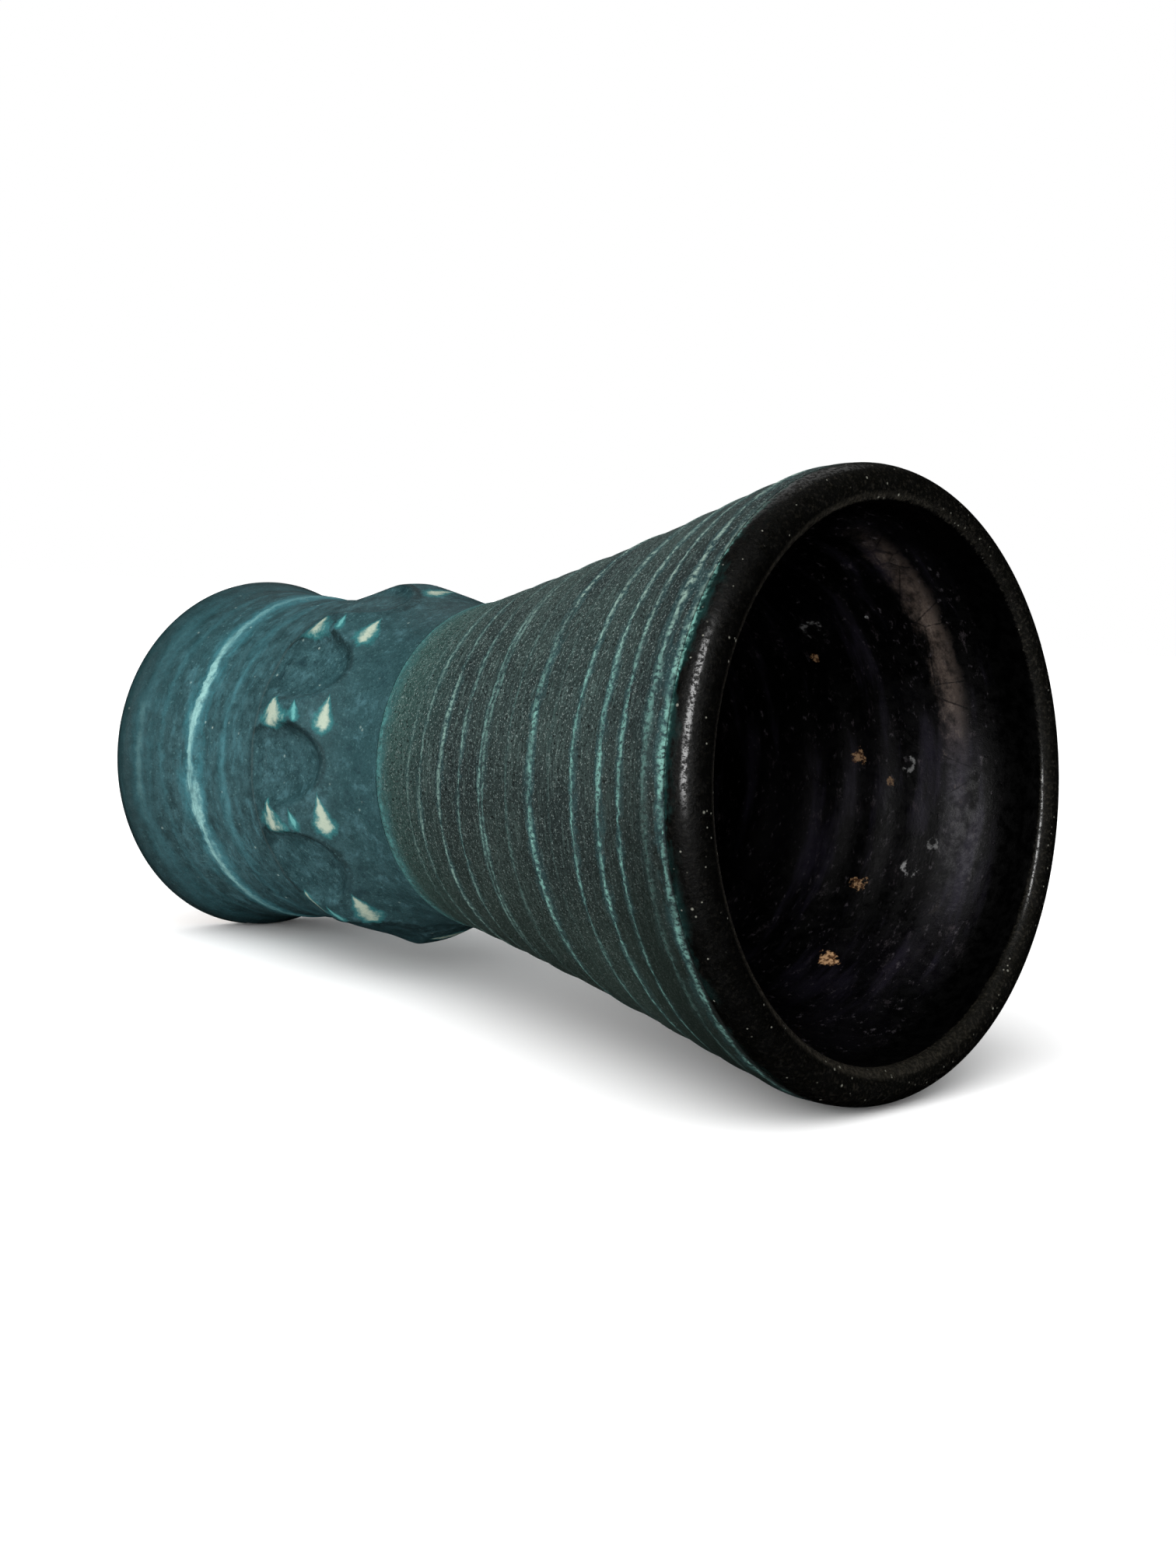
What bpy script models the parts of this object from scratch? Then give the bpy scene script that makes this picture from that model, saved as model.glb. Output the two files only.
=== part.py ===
"""Trumpet vase, thrown in two sections that are luted together under a dimpled belt.

Lengths are metres and +Z is up. The origin is the centre of the foot's underside, and one dimple
of the belt faces +X.
"""
import math

import bmesh
import bpy
from mathutils import Matrix

# Overall
HEIGHT = 0.2006
MOUTH_RADIUS = 0.0602

# Foot section, from its resting ring up to the waist
FOOT_RADIUS = 0.0447
FOOT_SWELL_HEIGHT = 0.0060
FOOT_EDGE = 0.0035
FOOT_FLARE_POWER = 4.0
FOOT_RING_WIDTH = 0.0070
FOOT_RING_DEPTH = 0.0025
FOOT_RING_SLOPE = 0.0020
FOOT_WALL = 0.0065
FLOOR_THICKNESS = 0.0085
FLOOR_FILLET = 0.0120
WAIST_RADIUS = 0.0390
WAIST_HEIGHT = 0.0553

# Belt over the joint, and the dimples pressed into it
BELT_WIDTH = 0.0370
BELT_INSET = 0.0030
BELT_LIP = 0.0006
BELT_LIP_ROUND = 0.0009
BELT_SWELL = 0.0028
BELT_CREST_HEIGHT = 0.0084
BELT_FALL_POWER = 4.0
DIMPLE_COUNT = 10
DIMPLE_WIDTH = 0.0220
DIMPLE_LENGTH = 0.0390
DIMPLE_DEPTH = 0.0035
DIMPLE_CENTRE_HEIGHT = 0.0025
DIMPLE_TILT = math.radians(5.5)
DIMPLE_STEEPNESS = 4.0

# Trumpet section, from the belt up to the rim
NECK_RADIUS = 0.0368
THROAT_WALL = 0.0048
THROAT_EASE = 0.0160
TRUMPET_WALL = 0.0060
TRUMPET_FLARE_POWER = 1.17
RIM_THICKNESS = 0.0077
RIM_SHOULDER = 0.0045
RIM_CROWN = 0.0050
RIM_INNER_DROP = 0.0022
RIM_EASE = 0.0083
RIM_LAP = 0.0005

# Lining glaze, luting slip and the gap between neighbouring pieces
GLAZE = 0.0007
SLIP = 0.0010
JOINT_RIDGE = 0.0016
CLEARANCE = 0.0003

# Facets
SEGMENTS = 48
DIMPLE_SEGMENTS = 20
DIMPLE_RINGS = 7
DIMPLE_REACH = 1.2
MERGE_DISTANCE = 0.000001
SHARP_ANGLE = math.radians(35)

# Radii and heights that follow from the sizes above
FLOOR_TOP = FOOT_RING_DEPTH + FLOOR_THICKNESS
BELT_TOP = WAIST_HEIGHT + BELT_WIDTH
JOINT_HEIGHT = WAIST_HEIGHT + BELT_WIDTH / 2
BELT_CREST_Z = WAIST_HEIGHT + BELT_CREST_HEIGHT
CREST_RADIUS = WAIST_RADIUS + BELT_SWELL
SEAT_RADIUS = min(WAIST_RADIUS, NECK_RADIUS) - BELT_INSET
WELL_RADIUS = WAIST_RADIUS - FOOT_WALL
THROAT_RADIUS = SEAT_RADIUS - THROAT_WALL
RIM_LEVEL = HEIGHT - RIM_CROWN
LAP_END = RIM_LEVEL - RIM_LAP
COAT = GLAZE + CLEARANCE
JOINT_GAP = SLIP / 2 + CLEARANCE


def spread(low, high, count):
    """Return evenly spaced values from low to high, both ends included."""
    return [low + (high - low) * i / (count - 1) for i in range(count)]


def smooth(t):
    """Ease from 0 to 1 with level ends."""
    t = min(max(t, 0.0), 1.0)
    return t * t * (3 - 2 * t)


def arc(centre, half_width, half_height, start, end, count):
    """Return points of an elliptical arc; its angles are degrees from the outward direction."""
    return [
        (centre[0] + half_width * math.cos(a), centre[1] + half_height * math.sin(a))
        for a in spread(math.radians(start), math.radians(end), count)
    ]


def foot_outside(z):
    """Radius of the foot, wide near the ground and easing in to the waist."""
    t = (z - FOOT_SWELL_HEIGHT) / (WAIST_HEIGHT - FOOT_SWELL_HEIGHT)
    return WAIST_RADIUS + (FOOT_RADIUS - WAIST_RADIUS) * (1 - t) ** FOOT_FLARE_POWER


def trumpet_outside(z):
    """Radius of the trumpet: a slow flare that turns upright over the last stretch below the rim."""
    run = RIM_LEVEL - BELT_TOP
    turn = 1 - RIM_EASE / run
    turn_slope = TRUMPET_FLARE_POWER * turn ** (TRUMPET_FLARE_POWER - 1) / run
    flare = (MOUTH_RADIUS - NECK_RADIUS) / (turn ** TRUMPET_FLARE_POWER + turn_slope * RIM_EASE / 2)
    u = (z - BELT_TOP) / run
    if u <= turn:
        return NECK_RADIUS + flare * max(u, 0.0) ** TRUMPET_FLARE_POWER
    t = (u - turn) * run / RIM_EASE
    return NECK_RADIUS + flare * (turn ** TRUMPET_FLARE_POWER + turn_slope * RIM_EASE * (t - t * t / 2))


def inside(z):
    """Radius of the hollow: the well in the foot, the throat at the joint, then the trumpet."""
    if z <= BELT_TOP:
        ease = smooth((z - WAIST_HEIGHT + THROAT_EASE) / THROAT_EASE)
        return WELL_RADIUS + (THROAT_RADIUS - WELL_RADIUS) * ease
    ease = smooth((z - BELT_TOP) / THROAT_EASE)
    wall = TRUMPET_WALL + (RIM_THICKNESS - TRUMPET_WALL) * (z - BELT_TOP) / (RIM_LEVEL - BELT_TOP)
    return THROAT_RADIUS + (trumpet_outside(z) - wall - THROAT_RADIUS) * ease


def well_path(depth):
    """Hollow's outline from the middle of the floor to the waist, this deep behind its face."""
    corner = (WELL_RADIUS - FLOOR_FILLET, FLOOR_TOP + FLOOR_FILLET)
    fillet = arc(corner, FLOOR_FILLET + depth, FLOOR_FILLET + depth, -90, 0, 4)
    wall = spread(corner[1], WAIST_HEIGHT, 6)[1:]
    return [(0.0, FLOOR_TOP - depth)] + fillet + [(inside(z) + depth, z) for z in wall]


def trumpet_path(depth):
    """Hollow's outline from the top of the belt to the rim, this deep behind its face."""
    ease = spread(BELT_TOP, BELT_TOP + THROAT_EASE, 4)
    flare = spread(BELT_TOP + THROAT_EASE, RIM_LEVEL, 5)[1:]
    return [(inside(z) + depth, z) for z in ease + flare]


def rim_path(depth):
    """Rim from its tight inner edge over to its broad outer shoulder, this deep behind its face."""
    crest = MOUTH_RADIUS - RIM_SHOULDER
    inner_width = RIM_THICKNESS - RIM_SHOULDER
    inner_centre = (crest, HEIGHT - RIM_INNER_DROP)
    inner = arc(inner_centre, inner_width - depth, RIM_INNER_DROP - depth, 180, 90, 4)
    outer = arc((crest, RIM_LEVEL), RIM_SHOULDER - depth, RIM_CROWN - depth, 90, 0, 5)
    return inner + outer[1:]


def material(name, red, green, blue, roughness):
    """Fired finish of one piece, its colour given as 8-bit screen values."""
    finish = bpy.data.materials.new(name)
    finish.use_nodes = True
    shader = finish.node_tree.nodes["Principled BSDF"]
    linear = [(v / 255) ** 2.2 for v in (red, green, blue)]
    shader.inputs["Base Color"].default_value = (*linear, 1.0)
    shader.inputs["Roughness"].default_value = roughness
    shader.inputs["Metallic"].default_value = 0.0
    return finish


def spun(name, outline, steps):
    """Mesh made by turning an outline of (radius, height) points once round +Z.

    An outline that starts and ends on the axis is left open there, and any other is closed.
    """
    solid = bmesh.new()
    corners = [solid.verts.new((radius, 0.0, height)) for radius, height in outline]
    sides = [solid.edges.new(pair) for pair in zip(corners, corners[1:])]
    if outline[0][0] > 0:
        sides.append(solid.edges.new((corners[-1], corners[0])))
    bmesh.ops.spin(
        solid, geom=corners + sides, cent=(0, 0, 0), axis=(0, 0, 1), angle=math.tau,
        steps=steps, use_merge=True, use_duplicate=False,
    )
    bmesh.ops.remove_doubles(solid, verts=solid.verts, dist=MERGE_DISTANCE)
    bmesh.ops.recalc_face_normals(solid, faces=solid.faces)
    mesh = bpy.data.meshes.new(name)
    solid.to_mesh(mesh)
    solid.free()
    mesh.shade_smooth()
    mesh.set_sharp_from_angle(angle=SHARP_ANGLE)
    return mesh


def place(name, mesh, parent, finish=None):
    """Put a mesh in the scene under the vase's own empty."""
    piece = bpy.data.objects.new(name, mesh)
    bpy.context.collection.objects.link(piece)
    piece.parent = parent
    if finish:
        mesh.materials.append(finish)
    return piece


def foot_outline():
    """Lower section: resting ring, flared foot, seat for the belt, ridged top edge and the well."""
    ring_outer = FOOT_RADIUS - FOOT_EDGE
    ring_inner = ring_outer - FOOT_RING_WIDTH
    throat = THROAT_RADIUS + COAT
    underside = [(0.0, FOOT_RING_DEPTH), (ring_inner - FOOT_RING_SLOPE, FOOT_RING_DEPTH), (ring_inner, 0.0)]
    edge = arc((ring_outer, FOOT_SWELL_HEIGHT), FOOT_EDGE, FOOT_SWELL_HEIGHT, -90, 0, 5)
    flare = [(foot_outside(z), z) for z in spread(FOOT_SWELL_HEIGHT, WAIST_HEIGHT, 9)[1:]]
    top = [
        (SEAT_RADIUS, WAIST_HEIGHT),
        (SEAT_RADIUS, JOINT_HEIGHT - JOINT_GAP),
        ((SEAT_RADIUS + throat) / 2, JOINT_HEIGHT + JOINT_RIDGE - JOINT_GAP),
        (throat, JOINT_HEIGHT - JOINT_GAP),
    ]
    return underside + edge + flare + top + well_path(COAT)[::-1]


def slip_outline():
    """Chevron ring of slip between the ridged edges of the two sections."""
    throat = THROAT_RADIUS + COAT
    middle = (SEAT_RADIUS + throat) / 2
    return [
        (SEAT_RADIUS, JOINT_HEIGHT + SLIP / 2),
        (SEAT_RADIUS, JOINT_HEIGHT - SLIP / 2),
        (middle, JOINT_HEIGHT + JOINT_RIDGE - SLIP / 2),
        (throat, JOINT_HEIGHT - SLIP / 2),
        (throat, JOINT_HEIGHT + SLIP / 2),
        (middle, JOINT_HEIGHT + JOINT_RIDGE + SLIP / 2),
    ]


def trumpet_outline():
    """Upper section: grooved lower edge, seat for the belt, flared wall and the core of the rim."""
    throat = THROAT_RADIUS + COAT
    step = LAP_END - CLEARANCE
    bottom = [
        (throat, JOINT_HEIGHT + JOINT_GAP),
        ((SEAT_RADIUS + throat) / 2, JOINT_HEIGHT + JOINT_RIDGE + JOINT_GAP),
        (SEAT_RADIUS, JOINT_HEIGHT + JOINT_GAP),
        (SEAT_RADIUS, BELT_TOP),
    ]
    wall = [(trumpet_outside(z), z) for z in spread(BELT_TOP, step, 9)]
    rebate = [(trumpet_outside(step) - COAT, step)]
    return bottom + wall + rebate + rim_path(COAT)[::-1] + trumpet_path(COAT)[::-1]


def lining_outline():
    """Glaze coat from the middle of the floor, up the hollow and over the rim to its outer edge."""
    def coat_path(depth):
        lap = (trumpet_outside(LAP_END) - depth, LAP_END)
        return well_path(depth) + trumpet_path(depth) + rim_path(depth) + [lap]
    return coat_path(0.0) + coat_path(GLAZE)[::-1]


def belt_outline():
    """Belt before its dimples: a rounded lower lip, a crest and a long fall to the trumpet's edge."""
    low = WAIST_HEIGHT + CLEARANCE
    high = BELT_TOP - CLEARANCE
    seat = SEAT_RADIUS + CLEARANCE
    lip = WAIST_RADIUS + BELT_LIP
    lip_centre = (lip - BELT_LIP_ROUND, low + BELT_LIP_ROUND)
    edge = arc(lip_centre, BELT_LIP_ROUND, BELT_LIP_ROUND, -90, 0, 4)
    swell = arc((lip, BELT_CREST_Z), CREST_RADIUS - lip, BELT_CREST_Z - lip_centre[1], -90, 0, 5)[1:]
    fall = [
        (NECK_RADIUS + (CREST_RADIUS - NECK_RADIUS) * math.cos(t * math.pi / 2) ** BELT_FALL_POWER,
         BELT_CREST_Z + (high - BELT_CREST_Z) * t)
        for t in spread(0.0, 1.0, 8)[1:]
    ]
    return edge + swell + fall + [(seat, high), (seat, low)]


def dimple_outline():
    """Thumb tip that presses one dimple: a flat nose whose sides steepen outwards, of unit radius."""
    reach = spread(0.0, DIMPLE_REACH, DIMPLE_RINGS)
    nose = [(rho, DIMPLE_DEPTH * rho ** DIMPLE_STEEPNESS) for rho in reach]
    return nose + [(0.0, nose[-1][1])]


def press_dimples(belt, parent):
    """Cut the ring of dimples into the belt, each leaning deeper towards the mouth."""
    thumb = spun("dimple_cutter", dimple_outline(), DIMPLE_SEGMENTS)
    thumb.transform(Matrix.Diagonal((DIMPLE_LENGTH / 2, DIMPLE_WIDTH / 2, 1.0, 1.0)))
    floor = Matrix.Translation((CREST_RADIUS - DIMPLE_DEPTH, 0.0, WAIST_HEIGHT + DIMPLE_CENTRE_HEIGHT))
    outward = Matrix.Rotation(math.pi / 2 - DIMPLE_TILT, 4, "Y")
    for i in range(DIMPLE_COUNT):
        cutter = place(f"dimple_cutter_{i}", thumb, parent)
        cutter.matrix_world = Matrix.Rotation(math.tau * i / DIMPLE_COUNT, 4, "Z") @ floor @ outward
        cutter.hide_render = True
        cutter.display_type = "WIRE"
        cut = belt.modifiers.new(f"dimple_{i}", "BOOLEAN")
        cut.operation = "DIFFERENCE"
        cut.solver = "EXACT"
        cut.object = cutter


def build():
    """Clear the scene and make the vase."""
    for old in list(bpy.data.objects):
        bpy.data.objects.remove(old, do_unlink=True)
    vase = bpy.data.objects.new("vase", None)
    bpy.context.collection.objects.link(vase)

    teal = material("teal_glaze", 58, 98, 104, 0.45)
    matt_black = material("matt_black_glaze", 36, 47, 44, 0.75)
    belt_teal = material("belt_teal_glaze", 52, 84, 90, 0.40)
    gloss_black = material("gloss_black_lining", 20, 20, 19, 0.18)
    pale_slip = material("pale_slip", 176, 160, 138, 0.85)

    place("foot_section", spun("foot_section", foot_outline(), SEGMENTS), vase, teal)
    place("joint_slip", spun("joint_slip", slip_outline(), SEGMENTS), vase, pale_slip)
    place("trumpet_section", spun("trumpet_section", trumpet_outline(), SEGMENTS), vase, matt_black)
    place("lining_glaze", spun("lining_glaze", lining_outline(), SEGMENTS), vase, gloss_black)
    belt = place("collar_belt", spun("collar_belt", belt_outline(), SEGMENTS), vase, belt_teal)
    press_dimples(belt, vase)


build()
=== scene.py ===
"""Trumpet vase lying on its side: teal foot, dimpled belt, matt black trumpet and gloss black lining."""
from math import atan2, cos, exp, hypot, pi, radians, sin, tan, tau

import bmesh
import bpy
from mathutils import Matrix, Vector, noise


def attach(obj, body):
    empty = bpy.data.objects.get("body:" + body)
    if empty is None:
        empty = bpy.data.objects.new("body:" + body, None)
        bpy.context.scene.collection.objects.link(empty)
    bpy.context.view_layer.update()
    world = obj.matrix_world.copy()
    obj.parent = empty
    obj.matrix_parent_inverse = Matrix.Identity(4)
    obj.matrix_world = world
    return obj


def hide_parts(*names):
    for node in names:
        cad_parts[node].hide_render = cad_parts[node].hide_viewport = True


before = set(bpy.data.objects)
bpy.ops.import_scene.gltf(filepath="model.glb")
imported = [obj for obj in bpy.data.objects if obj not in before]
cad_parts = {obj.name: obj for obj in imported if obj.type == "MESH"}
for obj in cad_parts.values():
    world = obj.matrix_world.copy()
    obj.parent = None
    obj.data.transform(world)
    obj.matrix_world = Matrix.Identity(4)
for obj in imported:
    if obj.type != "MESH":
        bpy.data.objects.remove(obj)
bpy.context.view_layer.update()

# Sizes of the vase, metres, the same as in the part's source
HEIGHT = 0.2006
MOUTH_RADIUS = 0.0602
FOOT_RADIUS = 0.0447
FOOT_SWELL_HEIGHT = 0.0060
FOOT_EDGE = 0.0035
FOOT_FLARE_POWER = 4.0
FOOT_RING_WIDTH = 0.0070
FOOT_RING_DEPTH = 0.0025
FOOT_RING_SLOPE = 0.0020
FOOT_WALL = 0.0065
FLOOR_THICKNESS = 0.0085
FLOOR_FILLET = 0.0120
WAIST_RADIUS = 0.0390
WAIST_HEIGHT = 0.0553
BELT_WIDTH = 0.0370
BELT_INSET = 0.0030
BELT_SWELL = 0.0028
BELT_CREST_HEIGHT = 0.0084
BELT_FALL_POWER = 4.0
DIMPLE_COUNT = 10
DIMPLE_WIDTH = 0.0220
NECK_RADIUS = 0.0368
THROAT_WALL = 0.0048
THROAT_EASE = 0.0160
TRUMPET_WALL = 0.0060
TRUMPET_FLARE_POWER = 1.17
RIM_THICKNESS = 0.0077
RIM_SHOULDER = 0.0045
RIM_CROWN = 0.0050
RIM_INNER_DROP = 0.0022
RIM_EASE = 0.0083
RIM_LAP = 0.0005
GLAZE = 0.0007
CLEARANCE = 0.0003
SLIP = 0.0010

# Radii and heights that follow from them
FLOOR_TOP = FOOT_RING_DEPTH + FLOOR_THICKNESS
BELT_TOP = WAIST_HEIGHT + BELT_WIDTH
JOINT_HEIGHT = WAIST_HEIGHT + BELT_WIDTH / 2
JOINT_GAP = SLIP / 2 + CLEARANCE
FOOT_TOP = JOINT_HEIGHT - JOINT_GAP
TRUMPET_BOTTOM = JOINT_HEIGHT + JOINT_GAP
BELT_CREST_Z = WAIST_HEIGHT + BELT_CREST_HEIGHT
CREST_RADIUS = WAIST_RADIUS + BELT_SWELL
SEAT_RADIUS = min(WAIST_RADIUS, NECK_RADIUS) - BELT_INSET
WELL_RADIUS = WAIST_RADIUS - FOOT_WALL
THROAT_RADIUS = SEAT_RADIUS - THROAT_WALL
RIM_LEVEL = HEIGHT - RIM_CROWN
RIM_INNER_EDGE = HEIGHT - RIM_INNER_DROP
LAP_END = RIM_LEVEL - RIM_LAP
COAT = GLAZE + CLEARANCE
DIMPLE_PITCH = tau / DIMPLE_COUNT

# Margins that tell the faces of a piece apart while it is worked
HAIR = 0.0001
NEAR = 0.0004
SKIN = 0.0005
MERGE = 0.000001
SHARP_ANGLE = radians(50)

# Wedges that a piece is turned in, and steps in each
WEDGES, WEDGE_STEPS = 9, 32
BELT_WEDGES, BELT_WEDGE_STEPS = 15, 36

# Throwing ridges where the glaze breaks pale: height, half width of the line, strength
FOOT_LINES = [
    (0.0048, 0.0008, 0.30), (0.0103, 0.0025, 0.58), (0.0166, 0.0012, 0.26), (0.0271, 0.0033, 1.00),
    (0.0335, 0.0006, 0.10), (0.0390, 0.0020, 0.38), (0.0440, 0.0008, 0.08),
]
TRUMPET_LINES = [
    (0.0935, 0.0014, 0.85), (0.1051, 0.0004, 0.34), (0.1099, 0.0006, 0.66), (0.1178, 0.0008, 0.90),
    (0.1256, 0.0006, 0.72), (0.1336, 0.0007, 0.65), (0.1350, 0.0006, 0.50), (0.1432, 0.0005, 0.22),
    (0.1516, 0.0010, 0.98), (0.1588, 0.0005, 0.10), (0.1671, 0.0008, 0.85), (0.1756, 0.0009, 0.92),
    (0.1825, 0.0007, 0.80), (0.1900, 0.0012, 0.85), (0.1943, 0.0011, 0.98),
]

# Height and half width of the ridges themselves, and how far below the rim's widest level they fade
FOOT_RIDGE = (0.00035, 0.0020)
TRUMPET_RIDGE = (0.00030, 0.0016)
RIDGES_FADE = 0.0040

# How far the trumpet's rings climb towards the foot on its +Y side, and the heights between which
# the climb starts, eases to its least, returns in part, and ends at the two level rings of the rim
RING_TILT = 0.0019
RING_LEVEL_SIDE = 0.68
CLIMB_STARTS = (0.0950, 0.1020)
CLIMB_EASES = (0.138, 0.146)
CLIMB_LEAST = 0.15
CLIMB_RETURNS = (0.156, 0.164)
CLIMB_REGAINED = 0.45
RIM_RINGS = (0.180, 0.188)

# Drifts of the hand: greatest size, and how many times it changes along a metre
WALL_WOBBLE = (0.00022, 22)
RIDGE_DRIFT = (0.0010, 40)
LINING_DRIFT = (0.0015, 30)
LINING_WOBBLE_STARTS = (RIM_LEVEL - 0.020, RIM_LEVEL - 0.010)

# Inside of the mouth: the hollow below the rim's inner edge, and the lining's throwing rings
UNDERCUT_DEPTH = 0.0017
UNDERCUT_STARTS = (0.1765, 0.1870)
UNDERCUT_ENDS = (RIM_INNER_EDGE, RIM_INNER_EDGE - 0.0115)
LINING_RING_HEIGHT = 0.00022
LINING_RING_PITCH = 0.0092
LINING_RINGS_START = (BELT_TOP, BELT_TOP + 0.0200)
LINING_RINGS_END = (0.1760, 0.1660)

# The pressed belt: its feathered edge on the foot, its ridges, and the oval of each thumb dimple
SKIRT_EDGE = 0.0505
SKIRT_STEP = 0.0002
SKIRT_LEAD = 0.0015
RIDGE_RADIUS = 0.0422
DIMPLE_MIDDLE = 0.0610
DIMPLE_REACH = 0.0160
DIMPLE_FLOOR_RADIUS = 0.0393
DIMPLE_FLOOR_TILT = radians(5.2)
DIMPLE_WALL_HEIGHT = 0.0041
DIMPLE_WALL_POWER = 8.0
DIMPLE_LIMIT = 1.5
DIMPLE_BLEND = 0.0009
BELT_LEAST = 0.0006

# How far the thumb's places and reach drift from an even ring, and which dimples are pressed less deep
HAND_DRIFT = radians(2.9)
HAND_PHASE = 0.71
HAND_BIAS = 0.43
PRESS_UNEVEN = 0.03
PRESS_STEP = 4.1
PRESSED_LESS = {-2: 0.0012, 2: 0.0014}

# How far the mouth leans down its +Y side, as a thrown rim is never quite level
RIM_LEAN = 0.0011
LEAN_START = 0.120

# Share of the foot's swell that stays true, so that the vase stands flat
FOOT_PLAIN = 0.4

# How far the vase is out of round: the foot flatter where it lies and fuller opposite, the belt fuller
# where it lies; each fullness has its height and spread
FOOT_FLAT = 0.0013
FOOT_FLAT_ENDS = (0.0240, 0.0090)
FOOT_FULL = 0.0011
FOOT_FULL_AT = (0.0220, 0.0070)
BELT_FULL = 0.0010
BELT_FULL_AT = (0.0640, 0.0110)

# Chips and scuffs of the lining: turn, height, size, and how pale the bared spot is
LINING_CHIPS = [
    (radians(122.7), 0.1656, 0.0020, 1.00), (radians(-175.2), 0.1591, 0.0017, 0.50),
    (radians(148.4), 0.1631, 0.0016, 0.60), (radians(-144.6), 0.1533, 0.0011, 0.50),
    (radians(177.8), 0.1661, 0.0008, 0.25),
]
LINING_SCUFFS = [
    (radians(155.2), 0.1732, 0.0017, 0.80), (radians(-177.4), 0.1698, 0.0013, 0.55),
    (radians(-135.7), 0.1556, 0.0022, 0.35), (radians(-134.9), 0.1683, 0.0004, 0.80),
    (radians(163.0), 0.1765, 0.0012, 0.40),
]

# Ridges of the belt where the glaze breaks: middle, half length, half width, slant, whether it turns cream
BELT_BREAKS = [
    (0.0588, 0.0044, 0.0035, 0.22, True), (0.0672, 0.0011, 0.0024, 0.25, False),
    (0.0750, 0.0019, 0.0045, 0.06, True),
]

# Camera: the vase's rim as it sees it (right, down, away) and the turn of the vase's axis
AXIS_TURN = radians(45.75)
AXIS_DIP = radians(0.93)
RIM_SEEN_AT = Vector((0.05598, 0.01118, 0.35103))
LENS = 42.86
SENSOR = 36.0
SHIFT_X = 0.0037
SHIFT_Y = -0.0383
CLIP = (0.01, 50.0)

# Floor: half its width, its gap below the vase, and the light it gives off, as a lit table does
FLOOR_HALF = 6.0
FLOOR_GAP = 0.0004
FLOOR_GLOW = 0.02

# Light of the studio; directions are as the camera sees them (right, down, away)
WORLD_LIGHT = 0.66
WORLD_SEEN = 1.0
SKY_POWER = 3.1
SKY_ANGLE = radians(75)
SKY_TOWARDS = (-0.30, -0.88, -0.75)
LIT_MIDDLE = Vector((0.0, 0.0, 0.12))

# Soft boxes: name, direction, distance, width, height, power, whether it lights gloss alone
SOFT_BOXES = [
    ("front_left_box", (-0.50, -0.15, -0.85), 1.1, 0.5, 0.7, 5.0, False),
    ("front_window", (-0.22, -0.33, -0.92), 1.0, 0.84, 0.36, 13.0, True),
    ("back_card", (0.0, -0.80, 0.60), 1.0, 0.6, 1.0, 0.8, True),
]


class Value:
    """One output of a finish's nodes; arithmetic on it adds Math nodes."""

    def __init__(self, finish, socket):
        self.finish = finish
        self.socket = socket

    def __add__(self, other):
        return self.finish.math("ADD", self, other)

    def __radd__(self, other):
        return self.finish.math("ADD", other, self)

    def __sub__(self, other):
        return self.finish.math("SUBTRACT", self, other)

    def __rsub__(self, other):
        return self.finish.math("SUBTRACT", other, self)

    def __mul__(self, other):
        return self.finish.math("MULTIPLY", self, other)

    def __truediv__(self, other):
        return self.finish.math("DIVIDE", self, other)

    def __abs__(self):
        return self.finish.math("ABSOLUTE", self)


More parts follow.
